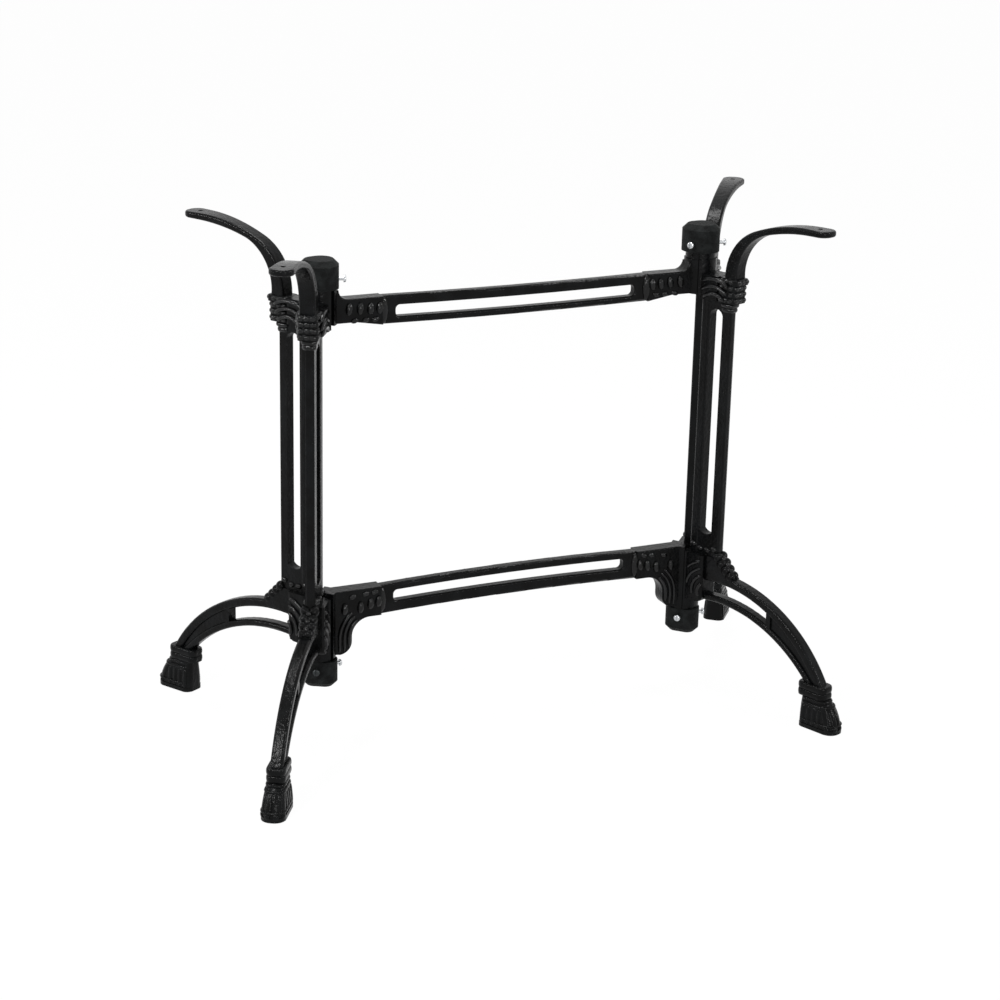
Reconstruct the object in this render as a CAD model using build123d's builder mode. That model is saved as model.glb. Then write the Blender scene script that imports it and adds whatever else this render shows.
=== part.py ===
from build123d import *

import os
from math import cos, radians, sin, sqrt

# A double table base in cast iron. Two posts stand on the floor, each made of two leg castings,
# and an upper and a lower stretcher join them. At each end of a post three castings meet about
# 120 degrees apart, and a cast cap with three set screws clamps their lugs.
# X runs along the stretchers, Z is up, and the origin is on the floor in the middle of the object's
# outline.
# A casting is drawn in its own frame: X is the distance from the post's axis, Y is across the casting.

# Overall sizes
table_height = 720.0
post_spacing = 580.0
casting_pitch = 120.0
right_post_turn = 10.0
front_left_turn = 2.5
back_right_turn = 1.0

# Heights of the two joints of a post
arm_rise = 94.0
collar_ring_count = 4
collar_ring_pitch = 9.0
lower_hub_top = 205.0
lower_hub_bottom = 131.0

# Lugs that the caps clamp, and the necks that the caps seat on
lug_bore_radius = 7.5
lug_sector_angle = 108.0
upper_neck_radius = 23.5
upper_neck_height = 19.0
lower_neck_radius = 22.0
lower_neck_height = 18.0
lug_clearance = 0.3
lug_end_gap = 1.0
seat_clearance = 0.1

# Caps
upper_cap_reach = 26.0
upper_cap_corner = 24.0
lower_cap_reach = 22.0
lower_cap_corner = 17.5
cap_wall = 4.0
cap_height = 39.0
cap_end_thickness = 8.0
cap_end_bevel = 7.5
cap_edge_rounding = 3.0
upper_right_cap_lift = 10.0

# Set screws
screw_radius = 2.5
screw_head_radius = 5.0
screw_head_height = 3.6
screw_head_rounding = 2.2
screw_stand_off = 6.0
screw_slot_width = 1.4
screw_slot_depth = 1.4
screw_height_in_cap = 12.0
screw_hole_clearance = 0.1
screw_tip_clearance = 0.1
upper_left_cap_turn = -20.0
upper_right_cap_turn = 94.0
lower_left_cap_turn = 119.0
lower_right_cap_turn = 103.5

# Upright bars of a post
inner_bar_radius = 12.0
inner_bar_depth = 17.5
inner_bar_width = 15.0
outer_bar_depth = 14.0
outer_bar_width = 14.0
bar_rounding = 4.5
post_slot_width = 23.0
post_slot_head_gap = 13.0
post_slot_foot_gap = 32.0
post_slot_head_rounding = 9.0
post_slot_foot_rounding = 5.0

# Hubs and the ringed collar under the arm
hub_width = 32.0
hub_start = 15.0
hub_reach = 46.0
hub_rounding = 4.0
hub_heel_rounding = 11.0
collar_reach = 78.0
collar_width = 28.0
collar_rounding = 6.0
collar_groove = 2.4
collar_fin = 4.0
hub_arc_width = 4.0
hub_arc_height = 1.8
upper_arc_radii = (24.0, 34.5, 45.0)
lower_arc_radii = (26.0, 37.0)
lower_arc_centre_radius = 54.0
lower_arc_centre_height = 150.0

# Arm
arm_root_radius = 67.0
arm_root_depth = 22.0
arm_root_width = 22.5
arm_reach = 233.5
arm_pad_start = 205.0
arm_pad_thickness = 9.5
arm_tip_thickness = 8.5
arm_tip_width = 36.0
arm_tip_rounding = 14.5
arm_shoulder_radius = 103.0
arm_shoulder_drop = 20.5
arm_waist_radius = 125.0
arm_waist_drop = 22.5
arm_rounding = 3.0
fixing_hole_radius = 3.5
fixing_hole_inset = 22.0

# Leg: two members curved about centres below the hub, with a thin web between them past the slot
leg_width = 18.0
leg_rounding = 4.0
leg_centre_radius = 73.0
upper_member_curve = 222.5
upper_member_depth = 13.0
upper_member_crown = 174.0
lower_member_curve = 234.7
lower_member_depth = 10.0
lower_member_crown = 142.0
leg_slot_start = 42.0
leg_slot_end = 164.0
leg_web_thickness = 10.0
leg_border_width = 8.0
leg_border_thickness = 15.0
leg_haunch_reach = 97.0
leaf_count = 4
leaf_radius = 7.2
leaf_start_radius = 66.0
leaf_start_height = 206.5
leaf_pitch = 11.4
leaf_slope = 45.0
leaf_spread = 6.2
leaf_taper = 0.7

# Foot
ankle_height = 46.0
ankle_ring_count = 2
ankle_ring_height = 10.0
ankle_groove = 2.2
ankle_inner_radius = 231.0
ankle_outer_radius = 280.0
ankle_width = 25.0
ankle_rounding = 9.0
foot_inner_radius = 238.0
foot_outer_radius = 302.0
foot_waist_inner_radius = 239.0
foot_waist_length = 38.0
foot_waist_width = 22.0
foot_bulge_height = 25.0
foot_bulge_radius = 295.0
foot_bulge_width = 29.0
foot_width = 34.0
foot_heel_share = 0.32
foot_nose_share = 0.45
sole_thickness = 6.0
sole_step = 1.2

# Stretchers
bar_width = 16.0
end_width = 24.0
stretcher_slot_gap = 20.0
stretcher_slot_height = 16.0
stretcher_slot_rounding = 6.0
stretcher_rounding = 3.5
upper_thick_bar = 14.0
upper_thin_bar = 9.5
upper_bow = -2.0
upper_stretcher_rise = 2.0
lower_thick_bar = 16.0
lower_thin_bar = 11.0
lower_bow = 4.0
lower_stretcher_rise = 6.0
end_block_reach = 88.0
upper_step_reach = 49.0
upper_step = 6.5
upper_bracket_reach = 37.0
upper_bracket_drop = 4.0
bracket_start_reach = 70.0
bracket_reach = 43.5
bracket_drop = 26.5
bracket_foot_reach = 30.0
bracket_foot_rise = 4.0
upper_end_rounding = 2.5
lower_end_rounding = 1.5
relief_height = 1.6
upper_relief_reaches = (38.0, 54.0)
lower_relief_reaches = (32.0, 56.0)
relief_length = 18.0
relief_width = 9.0


# Places that follow from the sizes above
half_spacing = post_spacing / 2
upper_hub_top = table_height - arm_rise
upper_hub_bottom = upper_hub_top - collar_ring_count * collar_ring_pitch
post_slot_start = inner_bar_radius + inner_bar_depth
post_slot_end = post_slot_start + post_slot_width
post_face = post_slot_end + outer_bar_depth
post_slot_bottom = lower_hub_top + post_slot_foot_gap
post_slot_top = upper_hub_bottom - post_slot_head_gap
upper_seat = upper_hub_top + upper_neck_height
lower_seat = lower_hub_bottom - lower_neck_height
lug_height = cap_height - cap_end_thickness - lug_end_gap
upper_member_centre = upper_member_crown - upper_member_curve
lower_member_centre = lower_member_crown - lower_member_curve
foot_waist_reach = foot_waist_inner_radius + foot_waist_length
ridge_curve = upper_member_curve + upper_member_depth / 2
underside_curve = lower_member_curve - lower_member_depth / 2
bar_end = half_spacing - end_block_reach
upper_top = upper_hub_top + upper_stretcher_rise
lower_top = lower_hub_top + lower_stretcher_rise
upper_bottom = upper_top - upper_thick_bar - stretcher_slot_height - upper_thin_bar
lower_bottom = lower_top - lower_thin_bar - stretcher_slot_height - lower_thick_bar


def lug_radius(cap_reach):
    """Radius of the lugs, which the three sides of the cap's bore clear."""
    return cap_reach - cap_wall - lug_clearance


def on_leg(centre_height, curve, radius):
    """Point of a leg curve at a distance from the post's axis."""
    return (radius, centre_height + sqrt(curve**2 - (radius - leg_centre_radius) ** 2))


def at_level(centre_height, curve, height):
    """Point of a leg curve at a height above the floor."""
    return (leg_centre_radius + sqrt(curve**2 - (height - centre_height) ** 2), height)


def sector(outer_radius, bottom, top):
    """A wedge of a ring about the post's axis, centred on X."""
    with BuildPart() as wedge:
        with BuildSketch(Plane.XY.offset(bottom)):
            with BuildLine():
                outer = CenterArc((0, 0), outer_radius, -lug_sector_angle / 2, lug_sector_angle)
                inner = CenterArc((0, 0), lug_bore_radius, -lug_sector_angle / 2, lug_sector_angle)
                Line(outer @ 0, inner @ 0)
                Line(outer @ 1, inner @ 1)
            make_face()
        extrude(amount=top - bottom)
    return wedge.part


def upper_lug(bottom):
    """Hub wedge, neck and lug at the head of a post."""
    neck = sector(upper_neck_radius, bottom, upper_seat)
    return neck + sector(lug_radius(upper_cap_reach), bottom, upper_seat + lug_height)


def lower_lug(top):
    """Hub wedge, neck and lug at the foot of a post."""
    neck = sector(lower_neck_radius, lower_seat, top)
    return neck + sector(lug_radius(lower_cap_reach), lower_seat - lug_height, top)


def make_post():
    """The two upright bars, and the solid metal above and below the slot between them."""
    middle = (post_slot_start + post_slot_end) / 2
    low = (lower_hub_bottom + lower_hub_top) / 2
    high = upper_hub_bottom + collar_ring_pitch
    with BuildPart() as post:
        with BuildSketch(Plane.XZ):
            with BuildLine():
                slot_head = post_slot_top - post_slot_head_rounding
                slot_foot = post_slot_bottom + post_slot_foot_rounding
                near = Line((post_slot_start, slot_foot), (post_slot_start, slot_head))
                far = Line((post_slot_end, slot_foot), (post_slot_end, slot_head))
                ThreePointArc(near @ 1, (middle, post_slot_top), far @ 1)
                ThreePointArc(near @ 0, (middle, post_slot_bottom), far @ 0)
            slot = make_face(mode=Mode.PRIVATE)
            with Locations((middle, (low + high) / 2)):
                Rectangle(post_slot_width + inner_bar_depth + outer_bar_depth / 2, high - low)
            add(slot, mode=Mode.SUBTRACT)
        extrude(amount=outer_bar_width / 2, both=True)
        with BuildSketch(Plane.XY.offset(low)):
            with Locations((inner_bar_radius + inner_bar_depth / 2, 0)):
                RectangleRounded(inner_bar_depth, inner_bar_width, bar_rounding)
            with Locations((post_slot_end + outer_bar_depth / 2, 0)):
                RectangleRounded(outer_bar_depth, outer_bar_width, bar_rounding)
        extrude(amount=high - low)
    return post.part


def make_arm():
    """The arm that carries the table top: a curved strip that widens to its pad."""
    root = upper_hub_top - collar_ring_pitch
    back = arm_root_radius - arm_root_depth
    inner_root = (arm_root_radius - arm_root_depth / 2, root)
    outer_root = (arm_root_radius + arm_root_depth / 2, root)
    shoulder = (arm_shoulder_radius, table_height - arm_shoulder_drop)
    waist = (arm_waist_radius, table_height - arm_waist_drop)
    tip_under = (arm_reach, table_height - arm_tip_thickness)
    pad_under = (arm_pad_start, table_height - arm_pad_thickness)
    with BuildPart() as arm:
        with BuildSketch(Plane.XZ):
            with BuildLine():
                pad = Line((arm_reach, table_height), (arm_pad_start, table_height))
                crown = TangentArc(pad @ 1, shoulder, tangent=pad % 1)
                bend = TangentArc(crown @ 1, inner_root, tangent=crown % 1)
                under = Line(tip_under, pad_under)
                hollow = TangentArc(under @ 1, waist, tangent=under % 1)
                throat = TangentArc(hollow @ 1, outer_root, tangent=hollow % 1)
                Line(bend @ 1, throat @ 1)
                Line(pad @ 0, under @ 0)
            make_face()
        extrude(amount=arm_tip_width, both=True)
        with BuildSketch(Plane.XY.offset(root)):
            with BuildLine():
                near = Line((back, arm_root_width / 2), (arm_shoulder_radius, arm_root_width / 2))
                side = TangentArc(near @ 1, (arm_reach, arm_tip_width / 2), tangent=near % 1)
                mirror(near, about=Plane.XZ)
                mirror(side, about=Plane.XZ)
                Line((arm_reach, arm_tip_width / 2), (arm_reach, -arm_tip_width / 2))
                Line((back, arm_root_width / 2), (back, -arm_root_width / 2))
            make_face()
        extrude(amount=arm_rise + collar_ring_pitch, mode=Mode.INTERSECT)
        fillet(arm.edges().filter_by(Axis.Z).group_by(Axis.X)[-1], arm_tip_rounding)
        long_edges = arm.edges().filter_by(lambda edge: edge.center().Z > root + 0.1)
        fillet(long_edges.filter_by(Axis.Y, reverse=True).filter_by(Axis.Z, reverse=True), arm_rounding)
        with BuildSketch(Plane.XY.offset(table_height)):
            with Locations((arm_reach - fixing_hole_inset, 0)):
                Circle(fixing_hole_radius)
        extrude(amount=-2 * arm_pad_thickness, mode=Mode.SUBTRACT)
    return arm.part


def make_collar():
    """The ringed collar at the root of the arm, with a fin on its top ring."""
    with BuildPart() as collar:
        for ring in range(collar_ring_count):
            reach = collar_reach
            if ring == collar_ring_count - 1:
                reach = collar_reach + collar_fin
            with BuildSketch(Plane.XY.offset(upper_hub_bottom + ring * collar_ring_pitch)):
                with Locations(((hub_reach + reach) / 2, 0)):
                    RectangleRounded(reach - hub_reach, collar_width, collar_rounding)
            extrude(amount=collar_ring_pitch)
            fillet(collar.faces().filter_by(Axis.Z).group_by(Axis.Z)[-1].edges(), collar_groove)
    return collar.part


def make_hubs():
    """The blocks that carry the bars, the arm and the leg to the lugs."""
    with BuildPart() as hubs:
        with BuildSketch(Plane.XZ) as outline:
            with Locations(((hub_start + hub_reach) / 2, (upper_hub_top + upper_hub_bottom) / 2)):
                Rectangle(hub_reach - hub_start, upper_hub_top - upper_hub_bottom)
            with Locations(((hub_start + hub_reach) / 2, (lower_hub_top + lower_hub_bottom) / 2)):
                Rectangle(hub_reach - hub_start, lower_hub_top - lower_hub_bottom)
            heel = outline.vertices().group_by(Axis.Y)[0].sort_by(Axis.X)[-1]
            fillet(heel, hub_heel_rounding)
        extrude(amount=hub_width / 2, both=True)
        fillet(hubs.edges().filter_by(Axis.Z), hub_rounding)
    return hubs.part + upper_lug(upper_hub_bottom) + lower_lug(lower_hub_top)


def leg_member(centre_height, curve, depth, end_height):
    """A curved member of rounded section, from near the post down to the ankle."""
    top = on_leg(centre_height, curve, leg_slot_start)
    ankle = at_level(centre_height, curve, end_height)
    with BuildPart() as member:
        with BuildLine(Plane.XZ) as path:
            RadiusArc(top, ankle, curve)
        with BuildSketch(Plane(origin=path.line @ 0, x_dir=(0, 1, 0), z_dir=path.line % 0)):
            RectangleRounded(leg_width, depth, leg_rounding)
        sweep()
    return member.part


def leg_plate(end, thickness):
    """Flat metal between the centre lines of the two members of a leg."""
    with BuildPart() as plate:
        with BuildSketch(Plane.XZ):
            roof_start = on_leg(upper_member_centre, upper_member_curve, leg_slot_end)
            roof_end = end(upper_member_centre, upper_member_curve)
            floor_start = on_leg(lower_member_centre, lower_member_curve, leg_slot_end)
            floor_end = end(lower_member_centre, lower_member_curve)
            with BuildLine():
                roof = RadiusArc(roof_start, roof_end, upper_member_curve)
                floor = RadiusArc(floor_start, floor_end, lower_member_curve)
                Line(roof @ 0, floor @ 0)
                Line(roof @ 1, floor @ 1)
            make_face()
        extrude(amount=thickness / 2, both=True)
    return plate.part


def make_leg():
    """The curved leg: two members with a slot between them, and a thin web past the slot."""
    foot_level = ankle_height + ankle_ring_height / 2
    with BuildPart() as haunch:
        with BuildSketch(Plane.XZ):
            with BuildLine():
                spring = on_leg(upper_member_centre, upper_member_curve, leg_slot_start)
                back = on_leg(upper_member_centre, upper_member_curve, leg_haunch_reach)
                ridge = on_leg(upper_member_centre, ridge_curve, leg_haunch_reach)
                RadiusArc(spring, back, upper_member_curve)
                Polyline(back, ridge, (post_face, lower_hub_top), (leg_slot_start, lower_hub_top), spring)
            make_face()
        extrude(amount=leg_width / 2, both=True)
        with BuildSketch(Plane.XZ):
            toe = on_leg(lower_member_centre, underside_curve, leg_slot_start)
            roof = on_leg(lower_member_centre, lower_member_curve, leg_slot_start)
            with BuildLine():
                Polyline(toe, roof, (hub_start, lower_hub_top), (hub_start, lower_hub_bottom))
                Polyline((hub_start, lower_hub_bottom), (lower_neck_radius, lower_hub_bottom), toe)
            make_face()
        extrude(amount=hub_width / 2, both=True)
    border_end = leg_slot_end + leg_border_width
    upper_member = leg_member(upper_member_centre, upper_member_curve, upper_member_depth, foot_level)
    lower_member = leg_member(lower_member_centre, lower_member_curve, lower_member_depth, foot_level)
    web = leg_plate(lambda centre, curve: at_level(centre, curve, foot_level), leg_web_thickness)
    border = leg_plate(lambda centre, curve: on_leg(centre, curve, border_end), leg_border_thickness)
    return haunch.part + upper_member + lower_member + web + border


def hub_arcs(centre, radii, bottom, top):
    """Raised arcs about one centre on both sides of a hub, between two heights."""
    with BuildPart() as arcs:
        with BuildSketch(Plane.XZ):
            for radius in reversed(radii):
                with Locations(centre):
                    Circle(radius + hub_arc_width / 2)
                    Circle(radius - hub_arc_width / 2, mode=Mode.SUBTRACT)
            side = hub_reach - hub_start - 2 * hub_rounding
            with Locations(((hub_start + hub_reach) / 2, (bottom + top) / 2)):
                Rectangle(side, top - bottom, mode=Mode.INTERSECT)
        extrude(amount=hub_width / 2 + hub_arc_height, both=True)
    return arcs.part


def make_ornament():
    """Two columns of round leaves down the leg's root, and raised arcs on the sides of both hubs."""
    slot_head = ((post_slot_start + post_slot_end) / 2, post_slot_top)
    volute = (lower_arc_centre_radius, lower_arc_centre_height)
    with BuildPart() as leaves:
        for leaf in range(leaf_count):
            along = leaf * leaf_pitch
            leaf_x = leaf_start_radius + along * cos(radians(leaf_slope))
            leaf_z = leaf_start_height - along * sin(radians(leaf_slope))
            spread = leaf_spread - leaf * leaf_taper
            with Locations((leaf_x, spread, leaf_z), (leaf_x, -spread, leaf_z)):
                Sphere(leaf_radius)
    upper_arcs = hub_arcs(slot_head, upper_arc_radii, upper_hub_bottom, upper_hub_top)
    lower_arcs = hub_arcs(volute, lower_arc_radii, lower_arc_centre_height, lower_hub_top)
    return leaves.part + upper_arcs + lower_arcs


def make_foot():
    """The foot: two rings at the ankle over a hoof that flares to the sole."""
    stations = (
        (ankle_height + ankle_groove, foot_waist_inner_radius, foot_waist_reach, foot_waist_width),
        (foot_bulge_height, foot_inner_radius, foot_bulge_radius, foot_bulge_width),
        (sole_thickness, foot_inner_radius, foot_outer_radius - sole_step, foot_width - 2 * sole_step),
    )
    with BuildPart() as foot:
        for level, start, reach, width in stations:
            with BuildSketch(Plane.XY.offset(level)) as outline:
                with Locations(((start + reach) / 2, 0)):
                    Rectangle(reach - start, width)
                fillet(outline.vertices().group_by(Axis.X)[-1], foot_nose_share * width)
                fillet(outline.vertices().group_by(Axis.X)[0], foot_heel_share * width)
        loft()
        with BuildSketch() as sole:
            with Locations(((foot_inner_radius + foot_outer_radius) / 2, 0)):
                Rectangle(foot_outer_radius - foot_inner_radius, foot_width)
            fillet(sole.vertices().group_by(Axis.X)[-1], foot_nose_share * foot_width)
            fillet(sole.vertices().group_by(Axis.X)[0], foot_heel_share * foot_width)
        extrude(amount=sole_thickness)
        for ring in range(ankle_ring_count):
            with BuildSketch(Plane.XY.offset(ankle_height + ring * ankle_ring_height)):
                with Locations(((ankle_inner_radius + ankle_outer_radius) / 2, 0)):
                    RectangleRounded(ankle_outer_radius - ankle_inner_radius, ankle_width, ankle_rounding)
            extrude(amount=ankle_ring_height)
            fillet(foot.faces().filter_by(Axis.Z).group_by(Axis.Z)[-1].edges(), ankle_groove)
    return foot.part


def make_leg_casting():
    """One leg casting: arm, collar, upright bars, hubs, lugs, leg and foot in one piece."""
    casting = make_hubs() + make_post() + make_leg() + make_ornament()
    return casting + make_collar() + make_arm() + make_foot()


def stretcher_slot(level, bow, width):
    """The long slot of a stretcher, which follows the bow of its bars."""
    with BuildSketch(Plane.XZ) as slot:
        with BuildLine():
            base = level - width
            roof = ThreePointArc((-bar_end, level), (0, level + bow), (bar_end, level))
            floor = ThreePointArc((-bar_end, base), (0, base + bow), (bar_end, base))
            Line(roof @ 0, floor @ 0)
            Line(roof @ 1, floor @ 1)
        make_face()
        with Locations((0, level)):
            Rectangle(2 * (bar_end - stretcher_slot_gap), 4 * width, mode=Mode.INTERSECT)
        fillet(slot.vertices(), stretcher_slot_rounding)
    return slot.sketch


def stretcher_bars(top, bow, upper_bar, lower_bar):
    """The two bars of a stretcher between its end blocks, with the slot between them."""
    bottom = top - upper_bar - stretcher_slot_height - lower_bar
    with BuildPart() as bars:
        with BuildSketch(Plane.XZ):
            with BuildLine():
                crest = ThreePointArc((-bar_end, top), (0, top + bow), (bar_end, top))
                belly = ThreePointArc((-bar_end, bottom), (0, bottom + bow), (bar_end, bottom))
                Line(crest @ 0, belly @ 0)
                Line(crest @ 1, belly @ 1)
            make_face()
            add(stretcher_slot(top - upper_bar, bow, stretcher_slot_height), mode=Mode.SUBTRACT)
        extrude(amount=bar_width / 2, both=True)
        sides = bars.faces().filter_by(Axis.Y)
        fillet(sides.edges(), stretcher_rounding)
    return bars.part


def make_upper_end():
    """The end block of the upper stretcher, which rises to the neck under the cap."""
    shoulder = (upper_bracket_reach, upper_top)
    neck = (upper_neck_radius, upper_seat - upper_bracket_drop)
    with BuildPart() as end:
        with BuildSketch(Plane.XZ):
            with BuildLine():
                bracket = TangentArc(shoulder, neck, tangent=(-1, 0))
                Polyline(
                    bracket @ 0,
                    (end_block_reach, upper_top),
                    (end_block_reach, upper_bottom),
                    (upper_step_reach, upper_bottom + upper_step),
                    (hub_start, upper_bottom + upper_step),
                    (hub_start, upper_seat - upper_bracket_drop),
                    bracket @ 1,
                )
            make_face()
        extrude(amount=end_width / 2, both=True)
        fillet(end.faces().filter_by(Axis.Y).edges(), upper_end_rounding)
        with BuildSketch(Plane.XZ):
            for reach in upper_relief_reaches:
                with Locations((reach, upper_top - upper_thick_bar)):
                    Ellipse(relief_width / 2, relief_length / 2)
        extrude(amount=end_width / 2 + relief_height, both=True)
    return end.part + upper_lug(upper_bottom + upper_step)


def make_lower_end():
    """The end block of the lower stretcher, a bracket that curves down to the neck over the cap."""
    foot_height = lower_seat + bracket_foot_rise
    spring = (bracket_start_reach, lower_bottom)
    knee = (bracket_reach, lower_bottom - bracket_drop)
    with BuildPart() as end:
        with BuildSketch(Plane.XZ):
            with BuildLine():
                shoulder = TangentArc(spring, knee, tangent=(-1, 0))
                shin = Line(shoulder @ 1, (bracket_reach, lower_hub_bottom + bracket_foot_rise))
                heel = TangentArc(shin @ 1, (bracket_foot_reach, foot_height), tangent=(0, -1))
                Polyline(
                    heel @ 1,
                    (hub_start, foot_height),
                    (hub_start, lower_top),
                    (end_block_reach, lower_top),
                    (end_block_reach, lower_bottom),
                    shoulder @ 0,
                )
            make_face()
        extrude(amount=end_width / 2, both=True)
        fillet(end.faces().filter_by(Axis.Y).edges(), lower_end_rounding)
        with BuildSketch(Plane.XZ):
            for reach in lower_relief_reaches:
                with Locations((reach, lower_top - lower_thin_bar - stretcher_slot_height)):
                    Ellipse(relief_width / 2, relief_length / 2)
        extrude(amount=end_width / 2 + relief_height, both=True)
    return end.part + lower_lug(lower_top)


def cap_outline(reach, corner, inset):
    """A triangle with broad rounded corners. The first of its three sides faces +X."""
    corners = []
    for side in range(3):
        angle = radians((side + 0.5) * casting_pitch)
        corners.append((2 * reach * cos(angle), 2 * reach * sin(angle)))
    with BuildSketch() as outline:
        with BuildLine():
            Polyline(*corners, close=True)
        make_face()
        fillet(outline.vertices(), corner)
        if inset > 0:
            offset(amount=-inset, mode=Mode.REPLACE)
    return outline.sketch


def make_cap(reach, corner):
    """A cap with its open rim at zero height and its closed end upward."""
    with BuildPart() as cap:
        add(cap_outline(reach, corner, 0))
        extrude(amount=cap_height)
        chamfer(cap.faces().filter_by(Axis.Z).group_by(Axis.Z)[-1].edges(), cap_end_bevel)
        fillet(cap.faces().filter_by(Axis.Z).group_by(Axis.Z)[-1].edges(), cap_edge_rounding)
        add(cap_outline(reach, corner, cap_wall))
        extrude(amount=cap_height - cap_end_thickness, mode=Mode.SUBTRACT)
        for turn in range(3):
            with BuildSketch(Plane.YZ.rotated((0, 0, turn * casting_pitch))):
                with Locations((0, screw_height_in_cap)):
                    Circle(screw_radius + screw_hole_clearance)
            extrude(amount=2 * reach, mode=Mode.SUBTRACT)
    return cap.part


def make_screw(cap_reach):
    """A round head set screw of a cap, on the X axis, with its tip against the lugs."""
    tip = lug_radius(cap_reach) + screw_tip_clearance
    head = cap_reach + screw_stand_off
    with BuildPart() as screw:
        with BuildSketch(Plane.YZ.offset(tip)):
            Circle(screw_radius)
        extrude(amount=head - tip)
        with BuildSketch(Plane.YZ.offset(head)):
            Circle(screw_head_radius)
        extrude(amount=screw_head_height)
        fillet(screw.faces().filter_by(Axis.X).group_by(Axis.X)[-1].edges(), screw_head_rounding)
        with BuildSketch(Plane.YZ.offset(head + screw_head_height)):
            Rectangle(screw_slot_width, 2 * screw_head_radius)
        extrude(amount=-screw_slot_depth, mode=Mode.SUBTRACT)
    return screw.part


def save(part, name):
    """Label a finished piece and write it as a STEP file."""
    part.label = name
    export_step(part, f"parts/{name}.step")


if __name__ == "__main__":
    os.makedirs("parts", exist_ok=True)

    leg_casting = make_leg_casting()
    leg_turns = (
        ("leg_back_left", -1, casting_pitch),
        ("leg_front_left", -1, 2 * casting_pitch - front_left_turn),
        ("leg_front_right", 1, -casting_pitch / 2 - right_post_turn),
        ("leg_back_right", 1, casting_pitch / 2 - right_post_turn - back_right_turn),
    )

    # The feet set the outline on the floor, and the origin is at its middle
    spans = [
        leg_casting.moved(Location((side * half_spacing, 0, 0), (0, 0, angle))).bounding_box()
        for leg_name, side, angle in leg_turns
    ]
    middle_x = (min(span.min.X for span in spans) + max(span.max.X for span in spans)) / 2
    middle_y = (min(span.min.Y for span in spans) + max(span.max.Y for span in spans)) / 2

    for leg_name, side, angle in leg_turns:
        with BuildPart() as leg:
            with Locations(Location((side * half_spacing - middle_x, -middle_y, 0), (0, 0, angle))):
                add(leg_casting)
        save(leg.part, leg_name)

    end_places = (
        Location((-half_spacing - middle_x, -middle_y, 0)),
        Location((half_spacing - middle_x, -middle_y, 0), (0, 0, 180)),
    )
    with BuildPart() as upper_stretcher:
        with Locations((-middle_x, -middle_y, 0)):
            add(stretcher_bars(upper_top, upper_bow, upper_thick_bar, upper_thin_bar))
        with Locations(*end_places):
            add(make_upper_end())
    save(upper_stretcher.part, "upper_stretcher")

    with BuildPart() as lower_stretcher:
        with Locations((-middle_x, -middle_y, 0)):
            add(stretcher_bars(lower_top, lower_bow, lower_thin_bar, lower_thick_bar))
        with Locations(*end_places):
            add(make_lower_end())
    save(lower_stretcher.part, "lower_stretcher")

    upper_rim = upper_seat + seat_clearance
    lower_rim = lower_seat - seat_clearance
    cap_places = (
        ("upper_left", -1, 1, upper_rim, upper_left_cap_turn),
        ("upper_right", 1, 1, upper_rim + upper_right_cap_lift, upper_right_cap_turn),
        ("lower_left", -1, -1, lower_rim, lower_left_cap_turn),
        ("lower_right", 1, -1, lower_rim, lower_right_cap_turn),
    )
    for cap_name, side, up, rim_height, turn in cap_places:
        reach = upper_cap_reach if up > 0 else lower_cap_reach
        corner = upper_cap_corner if up > 0 else lower_cap_corner
        post_x = side * half_spacing - middle_x
        flip = 0 if up > 0 else 180
        with BuildPart() as cap:
            with Locations(Location((post_x, -middle_y, rim_height), (flip, 0, up * turn))):
                add(make_cap(reach, corner))
        save(cap.part, f"cap_{cap_name}")
        for number in range(3):
            screw_height = rim_height + up * screw_height_in_cap
            screw_turn = turn + number * casting_pitch
            with BuildPart() as screw:
                with Locations(Location((post_x, -middle_y, screw_height), (0, 0, screw_turn))):
                    add(make_screw(reach))
            save(screw.part, f"set_screw_{cap_name}_{number + 1}")
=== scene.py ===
import math

import bpy
import numpy as np
from mathutils import Matrix, Vector


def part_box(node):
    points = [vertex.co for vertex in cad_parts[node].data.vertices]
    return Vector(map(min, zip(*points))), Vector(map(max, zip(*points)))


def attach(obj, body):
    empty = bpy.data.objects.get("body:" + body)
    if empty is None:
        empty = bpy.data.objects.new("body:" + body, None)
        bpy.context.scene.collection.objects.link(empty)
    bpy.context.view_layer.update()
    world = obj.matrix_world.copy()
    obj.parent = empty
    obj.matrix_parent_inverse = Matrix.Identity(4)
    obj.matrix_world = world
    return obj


# A double table base of black painted cast iron, dressed for its photograph.
# The frame holds every casting, cap and set screw. Here they get their finishes, and the castings
# get the fine moulded ornament that lies on their surfaces: beads, arches, volutes, flutes and toes.

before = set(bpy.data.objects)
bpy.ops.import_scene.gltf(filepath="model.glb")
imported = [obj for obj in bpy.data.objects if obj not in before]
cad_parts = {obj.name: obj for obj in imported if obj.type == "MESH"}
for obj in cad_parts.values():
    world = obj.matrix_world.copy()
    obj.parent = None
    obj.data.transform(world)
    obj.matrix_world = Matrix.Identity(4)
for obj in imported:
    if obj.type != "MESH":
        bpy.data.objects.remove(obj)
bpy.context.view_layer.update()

# The two posts stand half their spacing to each side of the upper stretcher's middle.
# A casting's own frame has X as the distance from its post's axis, Y across it, and Z up, in millimetres.
# Its turn is the angle from the world's X to its own, in degrees.
MM = 0.001
POST_SPACING = 580.0
stretcher_low, stretcher_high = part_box("upper_stretcher")
MIDDLE = (np.array(stretcher_low) + np.array(stretcher_high)) / (2 * MM)
CASTINGS = (
    ("leg_back_left", -1, 120.0),
    ("leg_front_left", -1, 237.5),
    ("leg_front_right", 1, -70.0),
    ("leg_back_right", 1, 49.0),
)
STRETCHER_ENDS = ((-1, 0.0), (1, 180.0))
BOTH_SIDES = (-1, 1)

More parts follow.
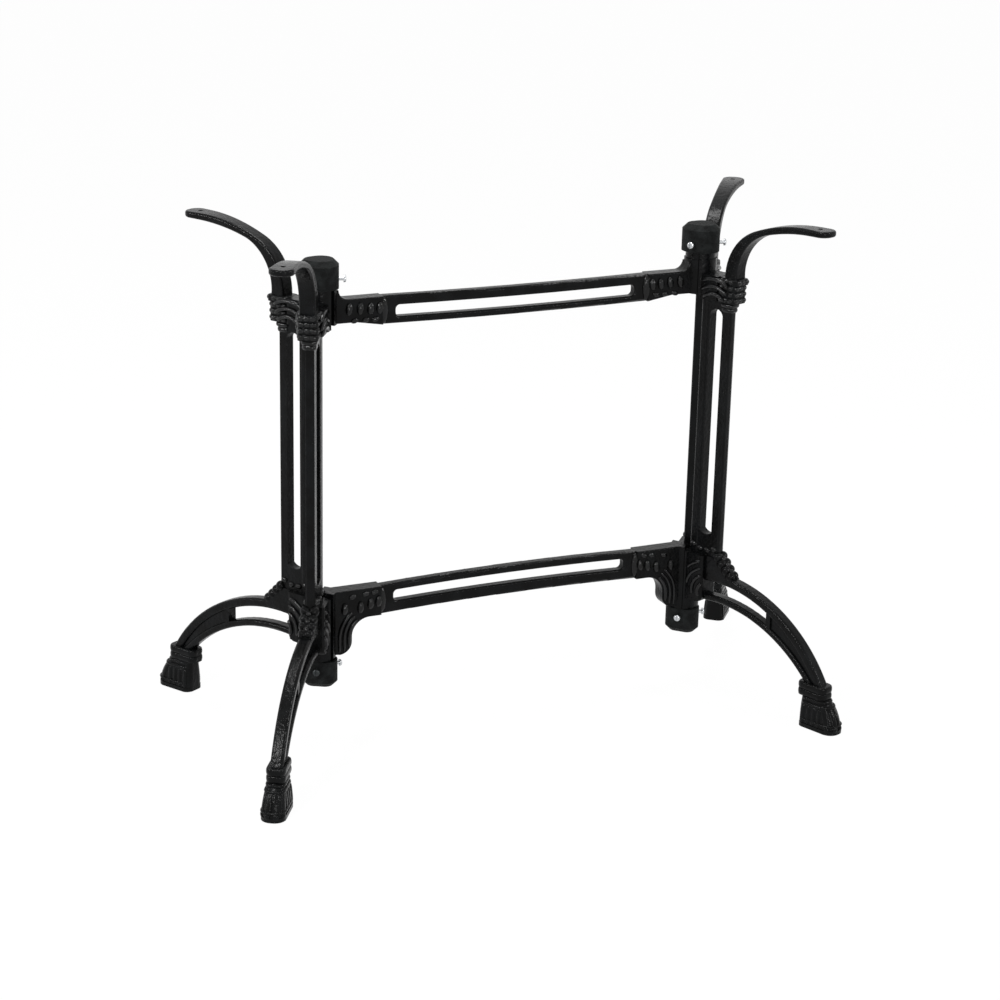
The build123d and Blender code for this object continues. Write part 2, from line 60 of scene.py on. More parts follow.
# Collar under the arm, with beads on the front and sides of its rings
RING_COUNT = 4
RING_PITCH = 9.0
RING_BOTTOM = 590.0
COLLAR_REACH = 78.0
COLLAR_FIN = 4.0
COLLAR_HALF_WIDTH = 14.0
COLLAR_SIDE_BEADS = (52.0, 60.5, 69.0)
COLLAR_SIDE_BEAD_LENGTH = 4.6
COLLAR_FRONT_BEADS = (-8.0, 0.0, 8.0)
COLLAR_FRONT_BEAD_LENGTH = 4.4
COLLAR_BEAD_HEIGHT = 3.7
COLLAR_BEAD_SWELL = 2.2
COLLAR_BEAD_INSET = 0.6

# Rolls under the collar: outline from the post's axis out, width, corner, height and how far they swell
COLLAR_ROLLS = (
    (50.0, 68.5, 16.5, 5.0, 585.5, 3.0),
    (50.0, 67.5, 15.0, 5.0, 578.5, 2.2),
)
ROLL_HALF_WIDTH = 3.6

# Sides of the hubs, with arches over the head of the post's slot and a volute below.
# Each arc has its radius and the angles that it starts and ends at.
HUB_HALF_WIDTH = 16.0
ARCH_CENTRE = (41.0, 577.0)
ARCHES = ((24.0, 142.0, 38.0), (34.5, 132.0, 45.0), (45.0, 121.0, 55.0))
VOLUTE_CENTRE = (54.0, 150.0)
VOLUTE = ((15.0, 125.0, 215.0), (26.0, 110.0, 198.0), (37.0, 105.0, 172.0), (48.0, 104.0, 142.0))
BAND_HALF_WIDTH = 3.1
BAND_HEIGHT = 3.4

# Beads at the foot of the upright: places along and up, then half their length, height and swell
FOOT_BEADS = ((20.0, 217.0), (33.0, 213.0), (46.0, 213.0), (59.0, 217.0))
FOOT_BEAD_LENGTH = 5.4
FOOT_BEAD_HEIGHT = 4.2
FOOT_BEAD_SWELL = 2.8
UPRIGHT_HALF_WIDTH = 7.2

# Leaves at the root of the leg, and the small beads between their two columns
LEAF_START = (66.0, 206.5)
LEAF_PITCH = 11.4
LEAF_SLOPE = 45.0
LEAF_ROWS = 4
LEAF_RISE = 4.2
LEAF_BEAD_WIDTH = 4.0
LEAF_BEAD_LENGTH = 3.2
LEAF_BEAD_SWELL = 2.6

# Hoof: height, front of the outline and its width at three levels
HOOF_HEIGHTS = (6.0, 25.0, 48.0)
HOOF_FRONTS = (300.8, 295.0, 277.0)
HOOF_WIDTHS = (31.6, 29.0, 22.0)
HOOF_HEEL = 239.5
HOOF_CORNER_SHARE = 0.42

# Toes round the nose of the hoof, as shares of its width where they grow with it, and their nails
TOE_ANGLES = (-66.0, -22.0, 22.0, 66.0)
TOE_BOTTOM = 5.0
TOE_TOP = 41.0
TOE_STEPS = 22
TOE_RADIUS_SHARE = 0.47
TOE_HALF_WIDTH_SHARE = 0.17
TOE_INSET = 0.9
TOE_SWELL = 2.4
NAIL_RISE = 2.5
NAIL_STAND = 0.8
NAIL_HEIGHT = 4.6
NAIL_WIDTH = 4.3
NAIL_SWELL = 2.6

# Ridges down the flanks of the hoof
SIDE_RIDGES = (247.0, 256.5, 266.0, 275.5)
SIDE_RIDGE_TOP = 35.0
SIDE_RIDGE_STEPS = 18
SIDE_RIDGE_HALF_WIDTH = 4.0
SIDE_RIDGE_SWELL = 1.7
SIDE_RIDGE_INSET = 0.5

# Folds round the hoof, each with its height, half width and swell, and the rolls round the ankle
WRINKLES = ((43.0, 2.8, 1.9), (36.5, 2.8, 1.9), (12.5, 1.6, 2.2))
ANKLE_ROLLS = (51.0, 61.0)
ANKLE_OUTLINE = (231.5, 279.5, 24.0, 9.0)
ANKLE_HALF_WIDTH = 4.9
ANKLE_SWELL = 1.5

# Flutes on the brackets of the lower stretcher: each has its radius and the height of its foot
END_HALF_WIDTH = 12.0
BRACKET_CENTRE = (70.0, 141.5)
FLUTES = ((31.5, 127.0), (38.5, 121.0), (45.5, 119.0))
FLUTE_START = 125.0
FLUTE_END = 180.0
FLUTE_SHIN_STEPS = 8
FLUTE_HALF_WIDTH = 2.7
FLUTE_SWELL = 3.2

# Ovals and buds on the ends of the stretchers, and the shoulder where the thick end meets the bars
UPPER_OVALS = ((38.0, 614.0), (54.0, 614.0), (69.0, 613.0), (82.0, 613.0))
UPPER_BUDS = ((46.0, 598.0), (62.0, 598.0), (76.0, 598.0))
LOWER_OVALS = ((32.0, 184.0), (56.0, 184.0), (71.0, 188.0), (83.0, 190.0))
LOWER_BUDS = ((44.0, 201.0), (64.0, 203.0), (77.0, 204.0))
OVAL_AXIS = (0.8, 0.0, 8.2)
OVAL_WIDTH = 4.9
OVAL_SWELL = 3.2
OVAL_STAND = 1.2
BUD_AXIS = (5.6, 0.0, 1.5)
BUD_SIDE = (-0.8, 0.0, 3.6)
BUD_SWELL = 2.8
SHOULDER_PLACE = 89.0
SHOULDER_HEIGHT = 18.5
SHOULDER_LENGTH = 7.0
SHOULDER_SWELL = 3.9
BAR_HALF_WIDTH = 8.0
UPPER_MIDDLE = 608.0
LOWER_MIDDLE = 190.0

# How finely the ornament is cut
BEAD_RINGS = 9
BEAD_COLUMNS = 16
MOULDING_COLUMNS = 14
ARC_STEPS = 28
CORNER_STEPS = 9

# Half of the gap that a roll leaves between its two ends, at the middle of the inner side, in millimetres
SEAM_HALF_GAP = 0.5

# Colours of the finishes, as sRGB
ENAMEL = "#050505"
ENAMEL_THIN = "#0b0c0d"
BLACKING = "#0a0b0b"
BLACKING_DUSTY = "#191b1b"
ZINC = "#d4d6d8"
ZINC_SHADE = "#a3a6a9"
DARK_ZINC = "#4a4d4e"
DARK_ZINC_SHADE = "#191b1b"
FLOOR = "#f6f6f6"

# Sizes of the patterns, in millimetres. Sand leaves a grain of well under a millimetre, and zinc plate
# a finer one. Both are too fine to show from the camera's place, so all three grains are drawn coarser.
CAST_GRAIN = 1.6
CAST_PITTING = 5.0
PAINT_POOLING = 28.0
BLACKING_GRIT = 1.2
BLACKING_LUMPS = 4.0
BLACKING_POOLING = 14.0
ZINC_GRAIN = 0.8
GRAIN_DEPTH = 0.5
LUMP_DEPTH = 1.2

# How the patterns are drawn: detail of the fine and coarse noise, and the stretch that the tone runs over
FINE_DETAIL = 3.0
COARSE_DETAIL = 2.0
TONE_START = 0.40
TONE_END = 0.70
PAINT_IOR = 1.5

# The front screw of the lower left cap is drawn in a dark grey zinc, and the others that show are bright
DARK_SCREW = "set_screw_lower_left_2"

# Camera of the photograph: its place from the floor at the middle between the posts, in millimetres,
# its turns in degrees, and its lens and film in millimetres
CAMERA_OFFSET = (-1371.89, -2937.46, 1387.31)
CAMERA_HEADING = 24.756
CAMERA_PITCH = 18.362
CAMERA_ROLL = 1.322
CAMERA_LENS = 86.133
CAMERA_FILM = 36.0

# Studio: a wide floor that is nearly all white to the camera, a sky, and soft lamps.
# A lamp has its place and size in metres and its power in watts.
WHITE = (1.0, 1.0, 1.0, 1.0)
FLOOR_REACH = 14.0
FLOOR_WHITENESS = 0.97
FLOOR_ROUGHNESS = 0.9
SKY_LIGHT = 0.5
LAMP_AIM = Vector((0, 0, 0.4))
LAMPS = (
    ("window lamp", (-2.4, -1.4, 2.3), 0.35, 60.0),
    ("fill lamp", (2.2, -2.2, 1.7), 0.30, 36.0),
    ("low lamp", (-0.6, -3.4, 0.9), 0.20, 22.0),
    ("left lamp", (-3.2, 0.4, 1.2), 0.25, 26.0),
    ("top lamp", (0.0, 0.6, 3.2), 0.9, 60.0),
)


def shell(first, rings, last):
    """A closed surface from rings of points with a pole at each end: its points, quads and end fans.
    Its faces are turned over if the volume that they enclose comes out negative."""
    count, columns = rings.shape[:2]
    points = np.concatenate([[first], rings.reshape(-1, 3), [last]])
    here = np.arange(columns)
    after = (here + 1) % columns
    start = 1 + columns * np.arange(count - 1)[:, None]
    quads = np.stack([start + here, start + after, start + columns + after, start + columns + here], axis=-1)
    quads = quads.reshape(-1, 4)
    base = 1 + columns * (count - 1)
    near_fan = np.stack([np.zeros_like(here), after + 1, here + 1], axis=-1)
    far_fan = np.stack([np.full_like(here, len(points) - 1), base + here, base + after], axis=-1)
    fans = np.concatenate([near_fan, far_fan])
    triangles = np.concatenate([quads[:, (0, 1, 2)], quads[:, (0, 2, 3)], fans])
    a, b, c = (points - points.mean(axis=0))[triangles].transpose(1, 0, 2)
    if np.einsum("ij,ij->", a, np.cross(b, c)) < 0:
        quads = quads[:, ::-1]
        fans = fans[:, ::-1]
    return points, quads, fans


def bead(centre, along, across, out):
    """A rounded bead: the centre, plus cos u of its length, plus sin u times cos v of its width
    and sin v of its height, where u runs from pole to pole and v once round."""
    centre, along, across, out = (np.array(value, dtype=float) for value in (centre, along, across, out))
    u = np.linspace(0, np.pi, BEAD_RINGS + 2)[1:-1, None, None]
    v = np.linspace(0, 2 * np.pi, BEAD_COLUMNS, endpoint=False)[None, :, None]
    around = centre + np.cos(u) * along + np.sin(u) * (np.cos(v) * across + np.sin(v) * out)
    return shell(centre + along, around, centre - along)


def moulding(path, out, half_width, height):
    """A rounded moulding laid along a path: the path's point at t, plus cos v of the half width across
    the path, plus sin v of the height outwards. Both grow from nothing at the ends as a flattened arc,
    the root of 1 less the sixth power of t, where t runs from -1 to 1."""
    out = np.broadcast_to(np.array(out, dtype=float), path.shape)
    t = np.linspace(-1, 1, len(path))
    swell = np.sqrt(1 - t**6)
    tangent = np.gradient(path, axis=0)
    across = np.cross(tangent, out)
    across /= np.linalg.norm(across, axis=1)[:, None]
    v = np.linspace(0, 2 * np.pi, MOULDING_COLUMNS, endpoint=False)[None, :, None]
    wide = (swell * half_width)[:, None, None] * across[:, None]
    high = (swell * height)[:, None, None] * out[:, None]
    rings = path[:, None] + np.cos(v) * wide + np.sin(v) * high
    return shell(path[0], rings[1:-1], path[-1])


def arc_path(centre, radius, start, end, y):
    """Points of an arc on the side of a casting: the centre plus the radius at angles from start to end."""
    angle = np.radians(np.linspace(start, end, ARC_STEPS))
    x = centre[0] + radius * np.cos(angle)
    z = centre[1] + radius * np.sin(angle)
    return np.stack([x, np.full(ARC_STEPS, y), z], axis=-1)


def outline_path(low, high, width, corner, z):
    """Points at height z round a rectangle with rounded corners, and the directions out of it. They run
    from the middle of its inner side all the way round: each corner's centre plus its radius at an angle."""
    quarters = [np.linspace(start, start + 90, CORNER_STEPS) for start in (180, 270, 360, 450)]
    angle = np.radians(np.concatenate(quarters))
    centre_x = np.repeat([low + corner, high - corner, high - corner, low + corner], CORNER_STEPS)
    centre_y = np.repeat([-1, -1, 1, 1], CORNER_STEPS) * (width / 2 - corner)
    out = np.stack([np.cos(angle), np.sin(angle), np.zeros(len(angle))], axis=-1)
    level = np.full(len(angle), z)
    path = np.stack([centre_x + corner * np.cos(angle), centre_y + corner * np.sin(angle), level], axis=-1)
    back = np.array([[-1.0, 0.0, 0.0]])
    start = np.array([[low, -SEAM_HALF_GAP, z]])
    end = np.array([[low, SEAM_HALF_GAP, z]])
    return np.concatenate([start, path, end]), np.concatenate([back, out, back])


def collar_beads():
    """Rows of beads on the front and sides of the collar's rings."""
    upright = (0, 0, COLLAR_BEAD_HEIGHT)
    side_y = COLLAR_HALF_WIDTH - COLLAR_BEAD_INSET
    for ring in range(RING_COUNT):
        z = RING_BOTTOM + (ring + 0.5) * RING_PITCH
        reach = COLLAR_REACH + (COLLAR_FIN if ring == RING_COUNT - 1 else 0)
        front_x = reach - COLLAR_BEAD_INSET
        for y in COLLAR_FRONT_BEADS:
            yield bead((front_x, y, z), (0, COLLAR_FRONT_BEAD_LENGTH, 0), upright, (COLLAR_BEAD_SWELL, 0, 0))
        for side in BOTH_SIDES:
            for x in COLLAR_SIDE_BEADS:
                place = (x, side * side_y, z)
                yield bead(place, (COLLAR_SIDE_BEAD_LENGTH, 0, 0), upright, (0, COLLAR_BEAD_SWELL, 0))


def collar_rolls():
    """Rolls that carry the collar down on to the outer bar of the post."""
    for low, high, width, corner, z, swell in COLLAR_ROLLS:
        path, out = outline_path(low, high, width, corner, z)
        yield moulding(path, out, ROLL_HALF_WIDTH, swell)


def hub_bands():
    """Arches over the head of the post's slot and the volute at the leg's root, on both sides."""
    for centre, arcs in ((ARCH_CENTRE, ARCHES), (VOLUTE_CENTRE, VOLUTE)):
        for radius, start, end in arcs:
            for side in BOTH_SIDES:
                path = arc_path(centre, radius, start, end, side * HUB_HALF_WIDTH)
                yield moulding(path, (0, side, 0), BAND_HALF_WIDTH, BAND_HEIGHT)


def foot_beads():
    """Beads across the foot of the upright, on both sides."""
    for x, z in FOOT_BEADS:
        for side in BOTH_SIDES:
            place = (x, side * UPRIGHT_HALF_WIDTH, z)
            yield bead(place, (FOOT_BEAD_LENGTH, 0, 0), (0, 0, FOOT_BEAD_HEIGHT), (0, FOOT_BEAD_SWELL, 0))


def leaf_beads():
    """A middle row of small beads that fills the parting between the two columns of leaves."""
    slope = math.radians(LEAF_SLOPE)
    down_slope = (LEAF_BEAD_LENGTH, 0, -LEAF_BEAD_LENGTH)
    off_slope = (LEAF_BEAD_SWELL, 0, LEAF_BEAD_SWELL)
    for row in range(LEAF_ROWS - 1):
        along = (row + 0.5) * LEAF_PITCH
        x = LEAF_START[0] + along * math.cos(slope) + LEAF_RISE * math.sin(slope)
        z = LEAF_START[1] - along * math.sin(slope) + LEAF_RISE * math.cos(slope)
        yield bead((x, 0, z), (0, LEAF_BEAD_WIDTH, 0), down_slope, off_slope)


def hoof_level(z):
    """Front and width of the hoof at a height, on a parabola through its three levels."""
    front = np.polyval(np.polyfit(HOOF_HEIGHTS, HOOF_FRONTS, 2), z)
    width = np.polyval(np.polyfit(HOOF_HEIGHTS, HOOF_WIDTHS, 2), z)
    return front, width


def toes():
    """Toe ridges down the nose of the hoof, each with a rounded nail at its foot."""
    z = np.linspace(TOE_TOP, TOE_BOTTOM, TOE_STEPS)
    front, width = hoof_level(z)
    radius = TOE_RADIUS_SHARE * width
    for angle in np.radians(TOE_ANGLES):
        x = front - radius + radius * np.cos(angle) - TOE_INSET
        path = np.stack([x, radius * np.sin(angle), z], axis=-1)
        out = np.array([math.cos(angle), math.sin(angle), 0.0])
        round_nose = np.array([-math.sin(angle), math.cos(angle), 0.0])
        yield moulding(path, out, TOE_HALF_WIDTH_SHARE * width, TOE_SWELL)
        nail = path[-1] + np.array([0, 0, NAIL_RISE]) + NAIL_STAND * out
        yield bead(nail, (0, 0, NAIL_HEIGHT), NAIL_WIDTH * round_nose, NAIL_SWELL * out)


def hoof_sides():
    """Upright ridges down the flanks of the hoof, behind the toes."""
    z = np.linspace(SIDE_RIDGE_TOP, TOE_BOTTOM, SIDE_RIDGE_STEPS)
    flank = hoof_level(z)[1] / 2 - SIDE_RIDGE_INSET
    for x in SIDE_RIDGES:
        for side in BOTH_SIDES:
            path = np.stack([np.full(len(z), x), side * flank, z], axis=-1)
            yield moulding(path, (0, side, 0), SIDE_RIDGE_HALF_WIDTH, SIDE_RIDGE_SWELL)


def hoof_wrinkles():
    """Folds of skin round the top of the hoof, and a thin welt above the sole."""
    for z, half_width, swell in WRINKLES:
        front, width = hoof_level(z)
        path, out = outline_path(HOOF_HEEL, front, width, HOOF_CORNER_SHARE * width, z)
        yield moulding(path, out, half_width, swell)


def ankle_rolls():
    """Half round rolls round the two rings of the ankle."""
    for z in ANKLE_ROLLS:
        path, out = outline_path(*ANKLE_OUTLINE, z)
        yield moulding(path, out, ANKLE_HALF_WIDTH, ANKLE_SWELL)


def bracket_flutes():
    """Flutes that follow the curve of the lower bracket and run down to the cap, on both sides."""
    for radius, foot in FLUTES:
        for side in BOTH_SIDES:
            y = side * END_HALF_WIDTH
            bend = arc_path(BRACKET_CENTRE, radius, FLUTE_START, FLUTE_END, y)
            drop = np.linspace(BRACKET_CENTRE[1], foot, FLUTE_SHIN_STEPS + 1)[1:]
            x = BRACKET_CENTRE[0] - radius
            shin = np.stack([np.full(len(drop), x), np.full(len(drop), y), drop], axis=-1)
            yield moulding(np.concatenate([bend, shin]), (0, side, 0), FLUTE_HALF_WIDTH, FLUTE_SWELL)


def end_ornament(ovals, buds, middle):
    """A row of oval bosses with buds between them on both sides of a stretcher's end, and a smooth
    shoulder that carries the thick end down to the thinner bars."""
    for side in BOTH_SIDES:
        for x, z in ovals:
            place = (x, side * (END_HALF_WIDTH + OVAL_STAND), z)
            yield bead(place, OVAL_AXIS, (OVAL_WIDTH, 0, 0), (0, OVAL_SWELL, 0))
        for x, z in buds:
            yield bead((x, side * END_HALF_WIDTH, z), BUD_AXIS, BUD_SIDE, (0, BUD_SWELL, 0))
        place = (SHOULDER_PLACE, side * BAR_HALF_WIDTH, middle)
        yield bead(place, (0, 0, SHOULDER_HEIGHT), (SHOULDER_LENGTH, 0, 0), (0, SHOULDER_SWELL, 0))


def add_piece(name, shells, side, turn, finish):
    """Joins shells of one casting into a mesh in its place on the post, and rides it on the frame."""
    cosine = math.cos(math.radians(turn))
    sine = math.sin(math.radians(turn))
    spin = np.array([(cosine, -sine, 0), (sine, cosine, 0), (0, 0, 1)])
    post = np.array([MIDDLE[0] + side * POST_SPACING / 2, MIDDLE[1], 0])
    point_sets, quad_sets, fan_sets = zip(*shells)
    starts = np.cumsum([0] + [len(points) for points in point_sets])
    quads = [face for faces, start in zip(quad_sets, starts) for face in (faces + start).tolist()]
    fans = [face for faces, start in zip(fan_sets, starts) for face in (faces + start).tolist()]
    places = (np.concatenate(point_sets) @ spin.T + post) * MM
    mesh = bpy.data.meshes.new(name)
    mesh.from_pydata(places.tolist(), [], quads + fans)
    mesh.shade_smooth()
    mesh.materials.append(finish)
    piece = bpy.data.objects.new(name, mesh)
    bpy.context.collection.objects.link(piece)
    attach(piece, "root")


def linear(hex_colour):
    """A colour written as sRGB hex, turned to the linear values that Blender works in."""
    channels = [int(hex_colour[i : i + 2], 16) / 255 for i in (1, 3, 5)]
    return (*[c / 12.92 if c <= 0.04045 else ((c + 0.055) / 1.055) ** 2.4 for c in channels], 1.0)


def add_node(tree, kind, settings=(), links=(), **values):
    """Adds one node, sets its settings and its input values, and links sockets into it."""
    node = tree.nodes.new(kind)
    for name, value in dict(settings).items():
        setattr(node, name, value)
    for name, value in values.items():
        node.inputs[name.replace("_", " ")].default_value = value
    for name, source in dict(links).items():
        tree.links.new(source, node.inputs[name])
    return node


def new_material(name):
    """An empty material with a Principled shader on its output."""
    material = bpy.data.materials.new(name)
    material.use_nodes = True
    tree = material.node_tree
    tree.nodes.clear()
    shader = add_node(tree, "ShaderNodeBsdfPrincipled")
    output = add_node(tree, "ShaderNodeOutputMaterial")
    tree.links.new(shader.outputs["BSDF"], output.inputs["Surface"])
    return material, tree, shader


def uneven_finish(name, colours, grain, lumps, pools, roughness, bumps, gloss):
    """Paint on a rough casting, whose tone and sheen change over its pools and whose skin is lumpy and
    grained. Sizes are in millimetres, colours and roughness run from thick paint to thin, bumps are the
    strengths of the lumps and the grain, and gloss is the specular level, which is 0.5 for bare paint."""
    material, tree, shader = new_material(name)
    where = {"Vector": add_node(tree, "ShaderNodeTexCoord").outputs["Object"]}
    fine = add_node(tree, "ShaderNodeTexNoise", links=where, Scale=1 / (grain * MM), Detail=FINE_DETAIL)
    coarse = add_node(tree, "ShaderNodeTexNoise", links=where, Scale=1 / (lumps * MM), Detail=COARSE_DETAIL)
    patches = add_node(tree, "ShaderNodeTexNoise", links=where, Scale=1 / (pools * MM), Detail=FINE_DETAIL)
    tone = add_node(tree, "ShaderNodeValToRGB", links={"Fac": patches.outputs["Fac"]})
    thick, thin = tone.color_ramp.elements
    thick.position = TONE_START
    thick.color = linear(colours[0])
    thin.position = TONE_END
    thin.color = linear(colours[1])
    tree.links.new(tone.outputs["Color"], shader.inputs["Base Color"])
    sheen = add_node(
        tree,
        "ShaderNodeMapRange",
        links={"Value": patches.outputs["Fac"]},
        To_Min=roughness[0],
        To_Max=roughness[1],
    )
    tree.links.new(sheen.outputs["Result"], shader.inputs["Roughness"])
    lumpy = add_node(
        tree,
        "ShaderNodeBump",
        links={"Height": coarse.outputs["Fac"]},
        Strength=bumps[0],
        Distance=LUMP_DEPTH * MM,
    )
    skin = add_node(
        tree,
        "ShaderNodeBump",
        links={"Height": fine.outputs["Fac"], "Normal": lumpy.outputs["Normal"]},
        Strength=bumps[1],
        Distance=GRAIN_DEPTH * MM,
    )
    tree.links.new(skin.outputs["Normal"], shader.inputs["Normal"])
    shader.inputs["IOR"].default_value = PAINT_IOR
    shader.inputs["Specular IOR Level"].default_value = gloss
    return material


def zinc_plate(name, light, dark, low, high):
    """Zinc plated steel: a cool metal whose colour and roughness change over its fine grain."""
    material, tree, shader = new_material(name)
    where = {"Vector": add_node(tree, "ShaderNodeTexCoord").outputs["Object"]}
    scale = 1 / (ZINC_GRAIN * MM)
    grain = add_node(tree, "ShaderNodeTexNoise", links=where, Scale=scale, Detail=COARSE_DETAIL)
    over_grain = grain.outputs["Fac"]
    tone = add_node(tree, "ShaderNodeValToRGB", links={"Fac": over_grain})
    tone.color_ramp.elements[0].color = linear(dark)
    tone.color_ramp.elements[1].color = linear(light)
    tree.links.new(tone.outputs["Color"], shader.inputs["Base Color"])
    sheen = add_node(tree, "ShaderNodeMapRange", links={"Value": over_grain}, To_Min=low, To_Max=high)
    tree.links.new(sheen.outputs["Result"], shader.inputs["Roughness"])
    shader.inputs["Metallic"].default_value = 1.0
    return material


def seen_paths(tree):
    """One where a ray comes from the camera, or by way of a mirror or clear surface, and zero elsewhere."""
    paths = add_node(tree, "ShaderNodeLightPath")
    either = add_node(tree, "ShaderNodeMath", settings={"operation": "MAXIMUM"})
    tree.links.new(paths.outputs["Is Camera Ray"], either.inputs[0])
    tree.links.new(paths.outputs["Is Glossy Ray"], either.inputs[1])
    seen = add_node(tree, "ShaderNodeMath", settings={"operation": "MAXIMUM"})
    tree.links.new(either.outputs["Value"], seen.inputs[0])
    tree.links.new(paths.outputs["Is Transmission Ray"], seen.inputs[1])
    return seen.outputs["Value"]


def white_floor():
    """A plain matt floor. It looks white from the camera and in reflections, and keeps a soft shadow."""
    material, tree, shader = new_material("matt white floor")
    shader.inputs["Base Color"].default_value = linear(FLOOR)
    shader.inputs["Roughness"].default_value = FLOOR_ROUGHNESS
    shader.inputs["Specular IOR Level"].default_value = 0.0
    white = add_node(tree, "ShaderNodeEmission", Color=WHITE, Strength=1.0)
    share = add_node(tree, "ShaderNodeMath", settings={"operation": "MULTIPLY"})
    tree.links.new(seen_paths(tree), share.inputs[0])
    share.inputs[1].default_value = FLOOR_WHITENESS
    mix = add_node(tree, "ShaderNodeMixShader", links={"Fac": share.outputs["Value"]})
    tree.links.new(shader.outputs["BSDF"], mix.inputs[1])
    tree.links.new(white.outputs["Emission"], mix.inputs[2])
    output = next(node for node in tree.nodes if node.type == "OUTPUT_MATERIAL")
    tree.links.new(mix.outputs["Shader"], output.inputs["Surface"])
    return material


# Brushed black enamel over sand cast iron: near black, wet in its highlights, with a slightly uneven skin
enamel = uneven_finish(
    "black enamel on sand cast iron",
    colours=(ENAMEL, ENAMEL_THIN),
    grain=CAST_GRAIN,
    lumps=CAST_PITTING,
    pools=PAINT_POOLING,
    roughness=(0.16, 0.30),
    bumps=(0.60, 0.40),
    gloss=0.09,
)

# The same enamel on raised ornament, rubbed smooth on its high spots: it glints where the casting stays dark
rubbed_enamel = uneven_finish(
    "rubbed black enamel on raised ornament",
    colours=(ENAMEL, ENAMEL_THIN),
    grain=CAST_GRAIN,
    lumps=CAST_PITTING,
    pools=PAINT_POOLING,
    roughness=(0.12, 0.24),
    bumps=(0.60, 0.25),
    gloss=0.24,
)

# Stove blacking on rough cast caps: dusty and matt, a little greyer than the enamel
blacking = uneven_finish(
    "matt stove blacking on rough cast iron",
    colours=(BLACKING, BLACKING_DUSTY),
    grain=BLACKING_GRIT,
    lumps=BLACKING_LUMPS,
    pools=BLACKING_POOLING,
    roughness=(0.55, 0.75),
    bumps=(1.0, 0.9),
    gloss=0.07,
)

# Bright zinc plate on turned screws: pale and cool, nearly white where it faces the light
bright_zinc = zinc_plate("bright zinc plated steel", ZINC, ZINC_SHADE, 0.18, 0.30)

# The same plate drawn dark grey, so that it only just stands out from the cap behind it
dark_zinc = zinc_plate("dark grey zinc plated steel", DARK_ZINC, DARK_ZINC_SHADE, 0.40, 0.55)

for node_name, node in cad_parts.items():
    finish = enamel
    if node_name.startswith("cap"):
        finish = blacking
    if node_name.startswith("set_screw"):
        finish = dark_zinc if node_name == DARK_SCREW else bright_zinc
    for material_slot in node.material_slots:
        material_slot.material = finish

for casting_name, casting_side, casting_turn in CASTINGS:
    place = casting_name.removeprefix("leg_")
    for part_name, makers, finish in (
        ("collar_beads", (collar_beads, collar_rolls), rubbed_enamel),
        ("hub_bands", (hub_bands, foot_beads), rubbed_enamel),
        ("leaf_beads", (leaf_beads,), rubbed_enamel),
        ("hoof_toes", (toes, hoof_sides, hoof_wrinkles, ankle_rolls), enamel),
    ):
        shells = [one for maker in makers for one in maker()]
        add_piece(f"{part_name}_{place}", shells, casting_side, casting_turn, finish)

for end_side, end_turn in STRETCHER_ENDS:
    place = "left" if end_side < 0 else "right"
    lower = end_ornament(LOWER_OVALS, LOWER_BUDS, LOWER_MIDDLE)
    upper = end_ornament(UPPER_OVALS, UPPER_BUDS, UPPER_MIDDLE)
    add_piece(f"bracket_flutes_{place}", bracket_flutes(), end_side, end_turn, rubbed_enamel)
    add_piece(f"lower_ovals_{place}", lower, end_side, end_turn, rubbed_enamel)
    add_piece(f"upper_ovals_{place}", upper, end_side, end_turn, rubbed_enamel)

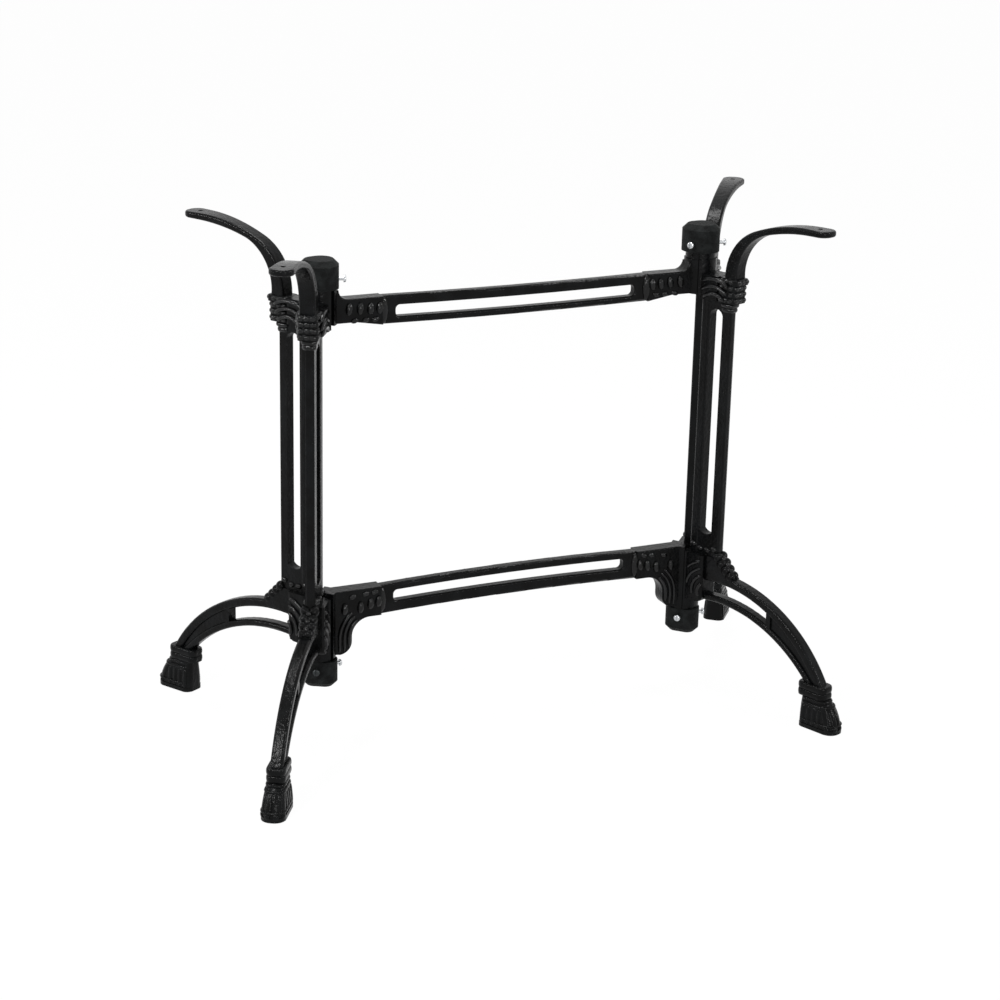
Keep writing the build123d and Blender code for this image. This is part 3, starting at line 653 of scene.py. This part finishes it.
# The camera looks along its heading, counted from the world's Y to its X, and down by its pitch
heading = math.radians(CAMERA_HEADING)
pitch = math.radians(CAMERA_PITCH)
roll = math.radians(CAMERA_ROLL)
look = Vector((math.sin(heading) * math.cos(pitch), math.cos(heading) * math.cos(pitch), -math.sin(pitch)))
level_right = Vector((math.cos(heading), -math.sin(heading), 0))
level_up = level_right.cross(look)
right = math.cos(roll) * level_right + math.sin(roll) * level_up
up = math.cos(roll) * level_up - math.sin(roll) * level_right
camera_place = Vector((MIDDLE[0], MIDDLE[1], 0)) + Vector(CAMERA_OFFSET)
camera_data = bpy.data.cameras.new("photograph camera")
camera_data.lens = CAMERA_LENS
camera_data.sensor_width = CAMERA_FILM
camera = bpy.data.objects.new("photograph camera", camera_data)
camera_turn = Matrix((right, up, -look)).transposed().to_4x4()
camera.matrix_world = Matrix.Translation(camera_place * MM) @ camera_turn
bpy.context.collection.objects.link(camera)
bpy.context.scene.camera = camera

floor_mesh = bpy.data.meshes.new("floor")
corners = FLOOR_REACH * np.array([(-1, -1, 0), (1, -1, 0), (1, 1, 0), (-1, 1, 0)], dtype=float)
floor_mesh.from_pydata(corners.tolist(), [], [(0, 1, 2, 3)])
floor_mesh.materials.append(white_floor())
floor = bpy.data.objects.new("floor", floor_mesh)
bpy.context.collection.objects.link(floor)

# The sky lights the object at a plain level, and looks white where it is seen
world = bpy.data.worlds.new("white studio")
world.use_nodes = True
bpy.context.scene.world = world
sky = world.node_tree
sky.nodes.clear()
sky_light = add_node(sky, "ShaderNodeBackground", Color=WHITE, Strength=SKY_LIGHT)
sky_seen = add_node(sky, "ShaderNodeBackground", Color=WHITE, Strength=1.0)
sky_mix = add_node(sky, "ShaderNodeMixShader", links={"Fac": seen_paths(sky)})
sky.links.new(sky_light.outputs["Background"], sky_mix.inputs[1])
sky.links.new(sky_seen.outputs["Background"], sky_mix.inputs[2])
add_node(sky, "ShaderNodeOutputWorld", links={"Surface": sky_mix.outputs["Shader"]})

for lamp_name, lamp_place, lamp_size, lamp_power in LAMPS:
    lamp_data = bpy.data.lights.new(lamp_name, "AREA")
    lamp_data.energy = lamp_power
    lamp_data.size = lamp_size
    lamp = bpy.data.objects.new(lamp_name, lamp_data)
    aim = LAMP_AIM - Vector(lamp_place)
    lamp.matrix_world = Matrix.Translation(lamp_place) @ aim.to_track_quat("-Z", "Y").to_matrix().to_4x4()
    bpy.context.collection.objects.link(lamp)

bpy.context.scene.view_settings.view_transform = "Standard"
